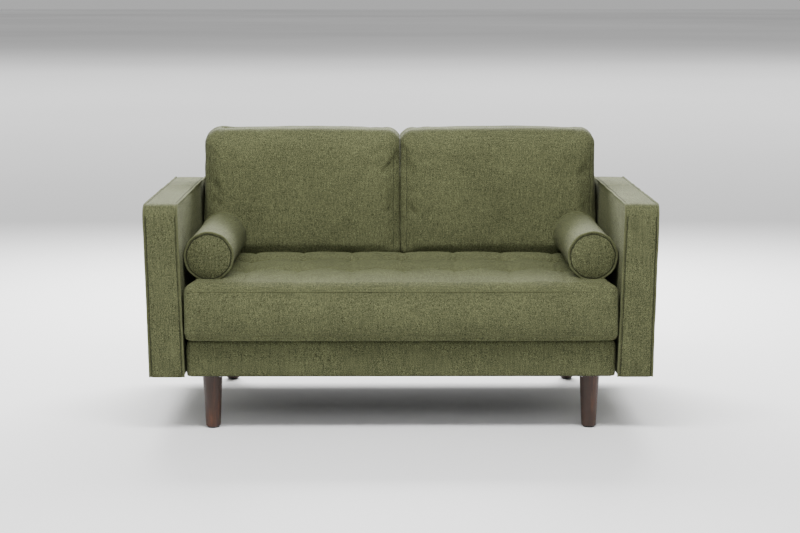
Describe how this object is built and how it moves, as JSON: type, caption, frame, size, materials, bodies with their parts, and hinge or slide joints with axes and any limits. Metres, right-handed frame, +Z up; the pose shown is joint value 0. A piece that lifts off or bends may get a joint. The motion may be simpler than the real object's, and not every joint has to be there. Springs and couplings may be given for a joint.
{
  "type": "sofa",
  "caption": "Upholstered low-arm sofa with loose back cushions, a tufted bench seat cushion, round bolsters and tapered wooden legs, for sitting.",
  "frame": {"origin": "on the floor, midway between the arms and midway between the front of the seat cushion and the rear of the back", "axes": "+Z up, +X along the seat towards the right arm as seen from the front, -Y towards the front"},
  "size_m": [1.4996, 0.83, 0.85],
  "materials": {
    "fabric": "heathered olive weave",
    "leg_wood": "dark walnut stain, satin",
    "frame_wood": "raw sawn softwood and plywood",
    "padding": "pale foam and fibre",
    "lining": "black lining cloth",
    "webbing": "elastic webbing",
    "twine": "waxed twine",
    "steel": "zinc plated",
    "glide": "matte black"
  },
  "bodies": {
    "frame": {"front_left_leg": "leg_wood", "front_right_leg": "leg_wood", "rear_left_leg": "leg_wood", "rear_right_leg": "leg_wood", "leg_glides": "glide", "leg_bolts": "steel", "leg_plates": "steel", "leg_plate_screws": "steel", "frame_bolts": "steel", "seat_springs": "steel", "spring_clips": "steel", "spring_tie_wires": "steel", "front_seat_rail": "frame_wood", "back_sill_rail": "frame_wood", "left_seat_rail": "frame_wood", "right_seat_rail": "frame_wood", "rear_seat_rail": "frame_wood", "centre_seat_rail": "frame_wood", "corner_blocks": "frame_wood", "deck_cloth": "lining", "dust_cover": "lining", "deck_pad": "padding", "apron_pad": "padding", "back_padding": "padding", "apron_cover": "fabric", "back_cover": "fabric", "outside_back_panel": "fabric", "back_webbing": "webbing", "back_left_post": "frame_wood", "back_right_post": "frame_wood", "back_centre_post": "frame_wood", "back_top_rail": "frame_wood", "back_bottom_rail": "frame_wood", "left_arm_front_post": "frame_wood", "left_arm_rear_post": "frame_wood", "left_arm_top_rail": "frame_wood", "left_arm_bottom_rail": "frame_wood", "left_arm_boards": "frame_wood", "left_arm_padding": "padding", "left_arm_cover": "fabric", "left_arm_piping": "fabric", "right_arm_front_post": "frame_wood", "right_arm_rear_post": "frame_wood", "right_arm_top_rail": "frame_wood", "right_arm_bottom_rail": "frame_wood", "right_arm_boards": "frame_wood", "right_arm_padding": "padding", "right_arm_cover": "fabric", "right_arm_piping": "fabric"},
    "seat_cushion": {"seat_cushion_cover": "fabric", "seat_cushion_foam": "padding", "seat_cushion_ties": "twine"},
    "left_back_cushion": {"left_back_cushion_cover": "fabric", "left_back_cushion_filling": "padding"},
    "left_bolster": {"left_bolster_cover": "fabric", "left_bolster_filling": "padding"},
    "right_back_cushion": {"right_back_cushion_cover": "fabric", "right_back_cushion_filling": "padding"},
    "right_bolster": {"right_bolster_cover": "fabric", "right_bolster_filling": "padding"}
  },
  "joints": [
    {"name": "seat_cushion_slide", "type": "slide", "parent": "frame", "child": "seat_cushion", "axis": [0, -1, 0], "range_m": [0, 0.75]},
    {"name": "left_bolster_lift", "type": "slide", "parent": "seat_cushion", "child": "left_bolster", "axis": [0, 0, 1], "range_m": [0, 0.3]},
    {"name": "right_bolster_lift", "type": "slide", "parent": "seat_cushion", "child": "right_bolster", "axis": [0, 0, 1], "range_m": [0, 0.3]},
    {"name": "left_back_cushion_lift", "type": "slide", "parent": "frame", "child": "left_back_cushion", "axis": [0, 0.107, 0.9943], "range_m": [0, 0.45]},
    {"name": "right_back_cushion_lift", "type": "slide", "parent": "frame", "child": "right_back_cushion", "axis": [0, 0.107, 0.9943], "range_m": [0, 0.45]}
  ]
}
